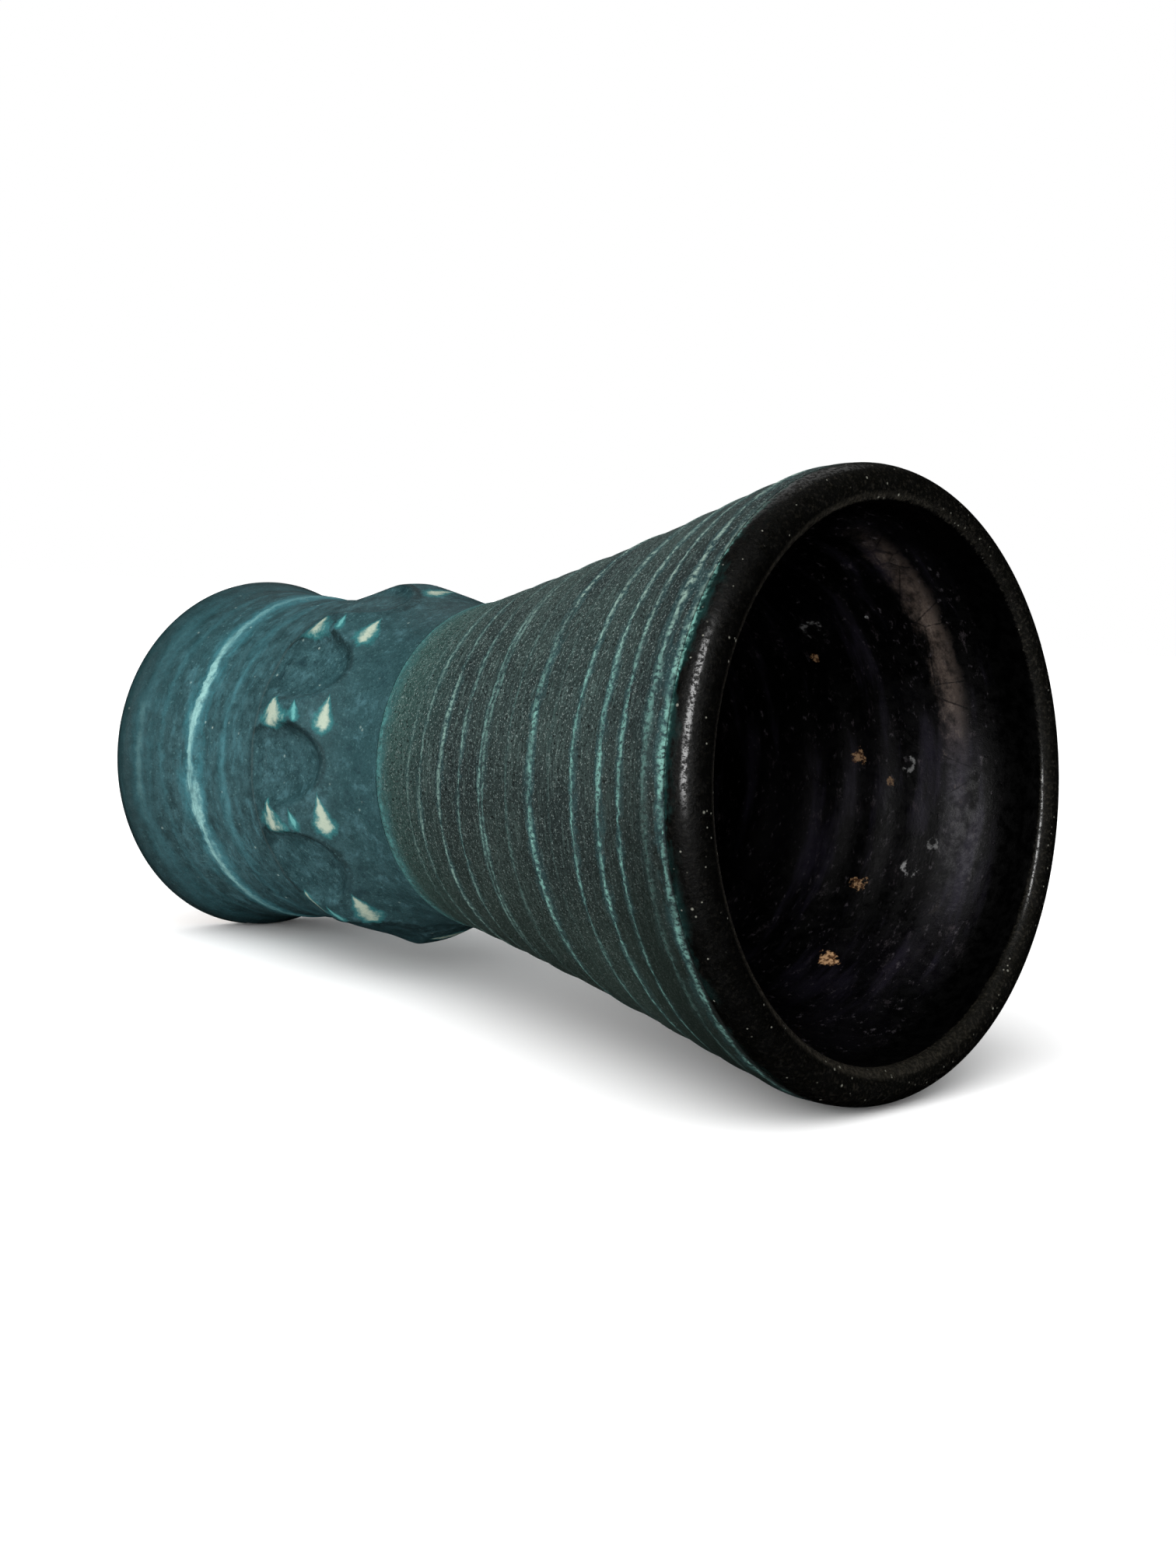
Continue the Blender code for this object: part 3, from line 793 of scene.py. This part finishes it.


# Colours of the belt's glaze, of its painted shade and highlight, and of its broken ridges
# Painted shade in the dimples' walls
DIMPLE_SHADE = screen(20, 30, 31)
BELT_PLAIN = screen(36, 58, 60)
BLOTCH_LIGHT, BLOTCH_DARK = screen(62, 94, 100), screen(26, 44, 49)
SPECKLE_LIGHT, SPECKLE_DARK = screen(84, 116, 118), screen(22, 36, 40)
BREAK_HALO, BREAK_AQUA, BREAK_CREAM = screen(40, 100, 102), screen(82, 138, 136), screen(142, 153, 138)
# Painted shade along the crease, and a painted highlight along the skirt's edge
BELT_CREASE_SHADE = screen(24, 36, 38)
BELT_HEM_HIGHLIGHT = screen(74, 84, 82)


def belt_glaze():
    glaze = Finish("teal_belt_glaze")
    body, fine = teal_body(glaze)
    turn = glaze.math("ARCTAN2", glaze.y, glaze.x)
    even = turn + (glaze.math("SINE", turn * 2.0 + HAND_PHASE) - HAND_BIAS) * HAND_DRIFT
    across = (glaze.math("FRACT", even / DIMPLE_PITCH) - 0.5) * (DIMPLE_PITCH * CREST_RADIUS)
    ragged = (glaze.grain(330, 4, 0.65) - 0.5) * 0.0034
    uneven = (glaze.grain(70, 2) - 0.5) * 0.0030

    # Painted shade in the wall of each dimple, strongest on the mouth side and on the wall that faces down
    # as the vase lies, where the glaze also pools a little darker
    half = DIMPLE_PITCH * CREST_RADIUS / 2
    reach = (glaze.z - DIMPLE_MIDDLE) / DIMPLE_REACH
    aside = (half - abs(across)) / (DIMPLE_WIDTH / 2)
    rho = glaze.math("SQRT", reach * reach + aside * aside) + ragged * 6
    upper = glaze.math("GREATER_THAN", across, 0.0)
    shaded_side = upper * glaze.ease(across, half, 0.0, 0.7, 1.0)
    shaded_side = shaded_side + (1.0 - upper) * glaze.ease(across, -half * 0.2, -half, 0.12, 0.7)
    wall = glaze.ease(rho, 0.45, 1.00) * 0.6 + glaze.ease(rho, 0.80, 0.96) * 0.4
    wall = wall * glaze.ease(rho, 1.05, 0.98)
    body = glaze.mix(wall * shaded_side * 0.80, body, DIMPLE_SHADE)
    plain = glaze.ease(glaze.z, 0.0640, 0.0760) * glaze.ease(rho, 0.95, 1.10)
    body = glaze.mix(plain * 0.45, body, BELT_PLAIN)

    blotch = glaze.grain(190, 5, 0.72, shift=(9, 4, 3))
    body = glaze.mix(glaze.ease(blotch, 0.52, 0.70) * 0.58, body, BLOTCH_LIGHT)
    body = glaze.mix(glaze.ease(blotch, 0.47, 0.32) * 0.55, body, BLOTCH_DARK)
    speckle = glaze.grain(1300, 4, 0.70, shift=(7, 2, 5))
    body = glaze.mix(glaze.ease(speckle, 0.56, 0.74) * 0.35, body, SPECKLE_LIGHT)
    body = glaze.mix(glaze.ease(speckle, 0.46, 0.30) * 0.45, body, SPECKLE_DARK)

    # Corners and crest of the ridges, where it breaks; on the sides of the vase the breaks sag to the foot
    sag = glaze.ease(glaze.y, 0.0180, 0.0420, 0.0, 0.0036)
    sag = sag + glaze.ease(glaze.y, -0.0330, -0.0420, 0.0, 0.0026)
    torn = glaze.grain(420, 5, 0.70, shift=(2, 1, 8))
    patchy = glaze.grain(95, 2, 0.5, shift=(5, 9, 2))
    creams = None
    for middle, half_length, half_width, slant, cream in BELT_BREAKS:
        shift = glaze.ease(glaze.y, 0.0250, 0.0350, 0.0, 0.0024) if middle < DIMPLE_MIDDLE else 0.0
        sideways = (across + uneven * 0.4 + shift) / half_width
        lengthways = (glaze.z + sag - middle + uneven * 0.4 - across * slant) / half_length
        taper = glaze.most(sideways * 0.42 + 0.58, 0.10)
        ends = glaze.math("POWER", abs(sideways), 3.0)
        far = abs(lengthways) / taper * 0.85 + ends * 0.8 + (torn - 0.5) * 2.6 + (patchy - 0.5) * 1.2
        far = far + glaze.ease(glaze.y, -0.0370, -0.0410, 0.0, 0.5)
        body = glaze.mix(glaze.ease(far, 2.1, 0.9) * (0.8 if cream else 0.6), body, BREAK_HALO)
        if cream:
            patch = glaze.ease(far, 1.30, 0.25)
            creams = patch if creams is None else glaze.most(creams, patch)
        else:
            body = glaze.mix(glaze.ease(far, 1.00, 0.35) * 0.85, body, BREAK_AQUA)
    body = glaze.mix(creams, body, BREAK_CREAM)
    # Painted shade along the crease at the skirt's edge, and a painted highlight along the edge itself
    crease_shade = glaze.ease(glaze.z, 0.0526, 0.0506)
    body = glaze.mix(crease_shade * 0.26, body, BELT_CREASE_SHADE)
    hem_highlight = glaze.ease(abs(glaze.z - SKIRT_EDGE - 0.0004), 0.0006, 0.0001)
    body = glaze.mix(hem_highlight * 0.22, body, BELT_HEM_HIGHLIGHT)
    rough = glaze.ease(fine, 0.3, 0.7, 0.42, 0.56)
    return glaze.finish(body, rough, fine, 0.00012, **{"Specular IOR Level": 0.17})


# Colours of the lining: its gloss black, painted reflections and shade, bared spots and the lip
GLOSS_BLACK, SOFT_GLOSS_BLACK = screen(6, 6, 7), screen(14, 13, 16)
# The rings' violet is painted in part as a reflection
LINING_RING_SHEEN, LINING_DUST, LINING_FLECK = screen(42, 39, 50), screen(78, 74, 78), screen(62, 57, 60)
# Painted shade below the lip
UNDER_LIP_SHADE = screen(2, 2, 2)
# Colours of a painted reflection band
BAND_SHEEN_GREY, BAND_SHEEN_BROWN, BAND_SHEEN_PALE = screen(54, 51, 60), screen(84, 74, 68), screen(112, 102, 94)
CHIP, PALE_CHIP = screen(84, 58, 40), screen(186, 148, 110)
SCUFF = screen(138, 138, 138)
# The near lip's colour is painted shade
LIP, SOFT_LIP, NEAR_LIP_SHADE = screen(16, 16, 14), screen(36, 34, 30), screen(6, 6, 5)
# The lip's edge colour is a painted highlight
LIP_EDGE_HIGHLIGHT, LIP_GRIT, LIP_HALO = screen(54, 51, 45), screen(128, 128, 118), screen(24, 62, 60)


def bared(glaze, spots, colour, body, arc_only=False):
    """Lay irregular spots of another colour on the hollow's wall, or torn arcs in place of full spots."""
    torn = (glaze.grain(420, 4, 0.70) - 0.5) * 4.0
    broken = glaze.ease(glaze.grain(300, 4, 0.7, shift=(2, 8, 4)), 0.49, 0.58)
    for turn, height, size, tone in spots:
        face = inside(height)
        ends = {0: glaze.place, 1: (face * cos(turn), face * sin(turn), height)}
        far = glaze.add("ShaderNodeVectorMath", {"operation": "DISTANCE"}, ends, "Value") / size
        if arc_only:
            mask = glaze.ease(abs(far - 1.0 + torn * 0.45), 0.42, 0.06) * broken
        else:
            mask = glaze.ease(far + torn, 1.0, 0.70)
        body = glaze.mix(mask * tone, body, colour)
    return body


def black_lining_glaze():
    glaze = Finish("gloss_black_lining_glaze")
    broad = glaze.grain(60, 4, 0.6)
    fine = glaze.grain(1400, 3, 0.6)
    rings = glaze.grain(120, 4, 0.6, (0.25, 0.25, 1.6))
    body = glaze.mix(glaze.ease(broad, 0.4, 0.7), GLOSS_BLACK, SOFT_GLOSS_BLACK)
    facing = glaze.ease(glaze.x, 0.0, -0.035)
    # Violet smudges on the rings of the far inside wall, painted in part as a reflection
    body = glaze.mix(glaze.ease(rings, 0.50, 0.72) * facing * 0.5, body, LINING_RING_SHEEN)
    dust = glaze.grain(900, 5, 0.7, (0.5, 0.5, 1.0), (2, 2, 9))
    body = glaze.mix(glaze.ease(dust, 0.58, 0.74) * 0.55, body, LINING_DUST)
    flecks = glaze.grain(360, 6, 0.80, (0.45, 0.45, 1.0), (7, 3, 3))
    body = glaze.mix(glaze.ease(flecks, 0.58, 0.70) * facing * 0.50, body, LINING_FLECK)
    # Painted shade: the hollow just below the lip, darkened to black
    under_lip_shade = glaze.ease(glaze.z, 0.1860, 0.1905)
    body = glaze.mix(under_lip_shade, body, UNDER_LIP_SHADE)

    # Painted reflection: a lit band below the rim on the far inside wall, brown above and grey below, with
    # the glaze's crazing showing in it; and chips and scuffs
    mottle = glaze.grain(330, 6, 0.78, (0.6, 0.6, 1.0), (3, 5, 1))
    ragged = (mottle - 0.5) * 0.0060
    sheen_band = glaze.ease(glaze.z + ragged, 0.1764, 0.1802) * glaze.ease(glaze.z + ragged, 0.1835, 0.1806)
    sheen_band = sheen_band * glaze.ease(glaze.x, -0.006, -0.040) * glaze.ease(glaze.y, 0.0240, -0.0150, 0.12, 1.0)
    crack_far = glaze.add(
        "ShaderNodeTexVoronoi", {"feature": "DISTANCE_TO_EDGE"},
        {"Vector": glaze.place, "Scale": 85}, "Distance",
    )
    cracked = glaze.ease(crack_far + (fine - 0.5) * 0.05, 0.002, 0.020, 0.25, 1.0)
    brown = glaze.mix(glaze.ease(glaze.y, 0.0020, -0.0200), BAND_SHEEN_GREY, BAND_SHEEN_BROWN)
    brown = glaze.mix(glaze.ease(mottle, 0.55, 0.68) * 0.6, brown, BAND_SHEEN_PALE)
    body = glaze.mix(sheen_band * glaze.ease(mottle, 0.34, 0.62, 0.15, 0.85) * cracked, body, brown)
    chip = glaze.mix(glaze.ease(glaze.grain(1300, 3), 0.42, 0.58), CHIP, PALE_CHIP)
    body = bared(glaze, LINING_CHIPS, chip, body)
    body = bared(glaze, LINING_SCUFFS, SCUFF, body, arc_only=True)

    # The lip: drier, with painted shade on its near (+X) side, a painted highlight along its inner edge
    # that is strongest on the near side, and the last aqua ring outside
    edge = (fine - 0.5) * 0.0012
    lip = glaze.most(
        glaze.ease(glaze.z + edge, 0.1984, 0.1989), glaze.ease(glaze.radius + edge, 0.0540, 0.0546),
    )
    lip_body = glaze.mix(glaze.ease(fine, 0.50, 0.72), LIP, SOFT_LIP)
    lip_body = glaze.mix(glaze.ease(glaze.x, 0.010, 0.045) * 0.70, lip_body, NEAR_LIP_SHADE)
    edge_highlight = glaze.ease(glaze.radius + edge * 0.6, 0.0548, 0.0538)
    edge_highlight = edge_highlight * glaze.ease(glaze.x, -0.036, 0.020, 0.15, 1.0)
    lip_body = glaze.mix(edge_highlight * glaze.ease(fine, 0.40, 0.62, 0.25, 0.60), lip_body, LIP_EDGE_HIGHLIGHT)
    grit = glaze.most(glaze.specks(480, 0.17, 0.18), glaze.specks(950, 0.22, 0.10, (4, 2, 6)))
    lip_body = glaze.mix(grit * 0.55, lip_body, LIP_GRIT)
    halo, line = aqua_rings(glaze, TRUMPET_LINES[-1:])
    outer = glaze.ease(glaze.radius, 0.0560, 0.0585)
    lip_body = glaze.mix(halo * outer * 0.45, lip_body, LIP_HALO)
    lip_body = glaze.mix(line * outer, lip_body, AQUA)
    body = glaze.mix(lip, body, lip_body)

    # Patchy gloss, with a wet coat on the lip that its pits break up
    patchy = glaze.grain(420, 5, 0.70, shift=(1, 9, 2))
    rough = glaze.ease(patchy, 0.35, 0.65, 0.34, 0.62)
    pitted = glaze.grain(1300, 4, 0.75, shift=(6, 1, 1))
    height = fine * 0.25 + rings * 0.6 + mottle * 0.9 + lip * pitted * 1.2
    wet = lip * glaze.ease(pitted, 0.44, 0.56, 0.03, 0.80)
    gloss = {"Specular IOR Level": 0.095, "Coat Weight": wet, "Coat Roughness": 0.19}
    return glaze.finish(body, rough, height, 0.00016, **gloss)


def slip_clay():
    clay = Finish("bare_slip_clay")
    body = clay.mix(clay.grain(500, 4), screen(150, 134, 112), screen(196, 180, 156))
    grit = clay.grain(1800, 3)
    return clay.finish(body, clay.ease(grit, 0.3, 0.7, 0.78, 0.92), grit, 0.0002)


def floor_paint():
    """Pale floor that is clear from below."""
    paint = Finish("pale_floor")
    tone = paint.mix(paint.grain(3, 2), screen(250, 250, 250), screen(255, 255, 255))
    top = paint.add("ShaderNodeBsdfDiffuse", {}, {"Color": tone})
    glow = paint.add("ShaderNodeEmission", {}, {"Color": tone, "Strength": FLOOR_GLOW})
    top = paint.add("ShaderNodeAddShader", {}, {0: top, 1: glow})
    clear = paint.add("ShaderNodeBsdfTransparent", {}, {})
    back = paint.add("ShaderNodeNewGeometry", {}, {}, "Backfacing")
    return paint.close(paint.add("ShaderNodeMixShader", {}, {0: back, 1: top, 2: clear}))


def lay_floor():
    """Floor that touches the foot and the rim along the vase's lower side, facing the vase."""
    foot = Vector((0.0, FOOT_RADIUS - FOOT_FLAT, FOOT_SWELL_HEIGHT))
    rim = Vector((0.0, MOUTH_RADIUS, RIM_LEVEL))
    along = (rim - foot).normalized()
    across = Vector((1.0, 0.0, 0.0))
    above = along.cross(across)
    if above.y > 0:
        across, above = -across, -above
    sheet = bmesh.new()
    bmesh.ops.create_grid(sheet, x_segments=1, y_segments=1, size=FLOOR_HALF)
    turn = Matrix((across, along, above)).transposed().to_4x4()
    laid = Matrix.Translation(foot - above * FLOOR_GAP) @ turn
    bmesh.ops.transform(sheet, matrix=laid, verts=sheet.verts)
    bmesh.ops.recalc_face_normals(sheet, faces=sheet.faces)
    sheet.faces.ensure_lookup_table()
    if sheet.faces[0].normal.dot(above) < 0:
        bmesh.ops.reverse_faces(sheet, faces=sheet.faces)
    mesh = bpy.data.meshes.new("floor")
    sheet.to_mesh(mesh)
    sheet.free()
    mesh.materials.append(floor_paint())
    floor = bpy.data.objects.new("floor", mesh)
    bpy.context.scene.collection.objects.link(floor)
    floor.visible_glossy = False


def seen_axes():
    """Vase's own axes as the camera sees them (right, down, away): towards it, down, and up its length."""
    up = Vector((sin(AXIS_TURN) * cos(AXIS_DIP), sin(AXIS_DIP), -cos(AXIS_TURN) * cos(AXIS_DIP)))
    down = Vector((0.0, 1.0, 0.0))
    down = (down - up * up.dot(down)).normalized()
    return down.cross(up), down, up


def in_vase(direction):
    """Turn a direction as the camera sees it (right, down, away) into the vase's own frame."""
    return Vector([axis.dot(Vector(direction)) for axis in seen_axes()])


def set_camera():
    camera = bpy.data.objects.new("camera", bpy.data.cameras.new("camera"))
    bpy.context.scene.collection.objects.link(camera)
    camera.data.lens = LENS
    camera.data.sensor_width = SENSOR
    camera.data.shift_x = SHIFT_X
    camera.data.shift_y = SHIFT_Y
    camera.data.clip_start, camera.data.clip_end = CLIP
    base = RIM_SEEN_AT - seen_axes()[2] * RIM_LEVEL
    right, up, back = (in_vase(v) for v in ((1, 0, 0), (0, -1, 0), (0, 0, -1)))
    turn = Matrix((right, up, back)).transposed().to_4x4()
    camera.matrix_world = Matrix.Translation(-in_vase(base)) @ turn
    bpy.context.scene.camera = camera


def soft_box(name, towards, distance, width, height, power, gloss):
    """Soft box off the vase; it lights gloss alone or all but gloss."""
    lamp = bpy.data.lights.new(name, "AREA")
    lamp.shape = "RECTANGLE"
    lamp.size = width
    lamp.size_y = height
    lamp.energy = power
    box = bpy.data.objects.new(name, lamp)
    bpy.context.scene.collection.objects.link(box)
    away = in_vase(towards).normalized()
    box.location = LIT_MIDDLE + away * distance
    box.rotation_euler = away.to_track_quat("Z", "Y").to_euler()
    box.visible_camera = False
    box.visible_diffuse = not gloss
    box.visible_glossy = gloss


def light_studio():
    world = bpy.data.worlds.new("studio")
    bpy.context.scene.world = world
    world.use_nodes = True
    nodes = world.node_tree.nodes
    seen = nodes.new("ShaderNodeLightPath").outputs["Is Camera Ray"]
    bright = nodes.new("ShaderNodeMapRange")
    bright.inputs["To Min"].default_value = WORLD_LIGHT
    bright.inputs["To Max"].default_value = WORLD_SEEN
    world.node_tree.links.new(seen, bright.inputs["Value"])
    world.node_tree.links.new(bright.outputs[0], nodes["Background"].inputs["Strength"])
    nodes["Background"].inputs["Color"].default_value = (1.0, 1.0, 1.0, 1.0)
    world.cycles_visibility.glossy = False
    lamp = bpy.data.lights.new("sky_panel", "SUN")
    lamp.energy = SKY_POWER
    lamp.angle = SKY_ANGLE
    sky = bpy.data.objects.new("sky_panel", lamp)
    bpy.context.scene.collection.objects.link(sky)
    sky.rotation_euler = in_vase(SKY_TOWARDS).to_track_quat("Z", "Y").to_euler()
    sky.visible_glossy = False
    for box in SOFT_BOXES:
        soft_box(*box)
    bpy.context.scene.view_settings.view_transform = "Standard"


throw_foot(teal_glaze())
press_belt(belt_glaze())
throw_trumpet(matt_black_glaze())
pour_lining(black_lining_glaze())
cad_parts["joint_slip"].material_slots[0].material = slip_clay()
lay_floor()
set_camera()
light_studio()
